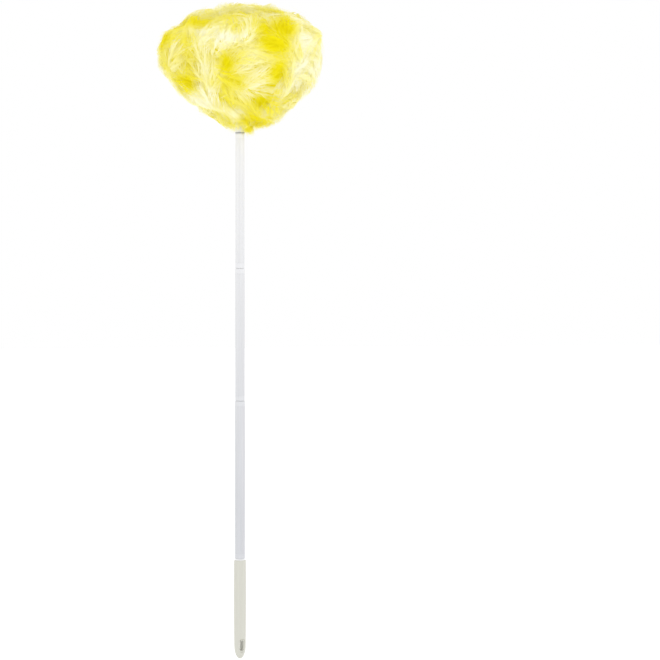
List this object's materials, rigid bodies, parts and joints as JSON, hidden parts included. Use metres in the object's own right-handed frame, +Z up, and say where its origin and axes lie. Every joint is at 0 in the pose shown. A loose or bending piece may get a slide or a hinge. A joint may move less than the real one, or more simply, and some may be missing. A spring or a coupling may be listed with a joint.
{
  "type": "feather duster",
  "caption": "Long-reach feather duster: oval hand grip with a hanging slot, screw-together pole sections and a soft mushroom-shaped head of tied feathers.",
  "frame": {"origin": "centre of the rounded foot of the hand grip, on the pole's axis", "axes": "+Z up the pole from grip to feathers; the hanging slot runs through the grip along Y"},
  "size_m": [0.213, 0.213, 0.8998],
  "materials": {
    "grip_plastic": "satin",
    "tube_plastic": "satin",
    "fitting_plastic": "satin",
    "core_wood": "matte",
    "feather": "matte",
    "binding_thread": "matte"
  },
  "bodies": {
    "handle": {"grip": "grip_plastic", "grip_socket": "fitting_plastic"},
    "lower_section": {"lower_stud": "fitting_plastic", "lower_tube": "tube_plastic", "lower_socket": "fitting_plastic"},
    "middle_section": {"middle_stud": "fitting_plastic", "middle_tube": "tube_plastic", "middle_socket": "fitting_plastic"},
    "upper_section": {"upper_stud": "fitting_plastic", "upper_tube": "tube_plastic", "upper_socket": "fitting_plastic"},
    "head": {"head_stud": "fitting_plastic", "head_collar": "fitting_plastic", "head_core": "core_wood", "core_cap": "fitting_plastic", "feather_row_1": "feather", "feather_row_2": "feather", "feather_row_3": "feather", "feather_row_4": "feather", "feather_row_5": "feather", "feather_row_6": "feather", "row_binding_1": "binding_thread", "row_binding_2": "binding_thread", "row_binding_3": "binding_thread", "row_binding_4": "binding_thread", "row_binding_5": "binding_thread", "row_binding_6": "binding_thread"}
  },
  "joints": [
    {"name": "lower_section_unscrew", "type": "slide", "parent": "handle", "child": "lower_section", "axis": [0, 0, 1], "range_m": [0, 0.02]},
    {"name": "middle_section_unscrew", "type": "slide", "parent": "lower_section", "child": "middle_section", "axis": [0, 0, 1], "range_m": [0, 0.02]},
    {"name": "upper_section_unscrew", "type": "slide", "parent": "middle_section", "child": "upper_section", "axis": [0, 0, 1], "range_m": [0, 0.02]},
    {"name": "head_unscrew", "type": "slide", "parent": "upper_section", "child": "head", "axis": [0, 0, 1], "range_m": [0, 0.02]}
  ]
}
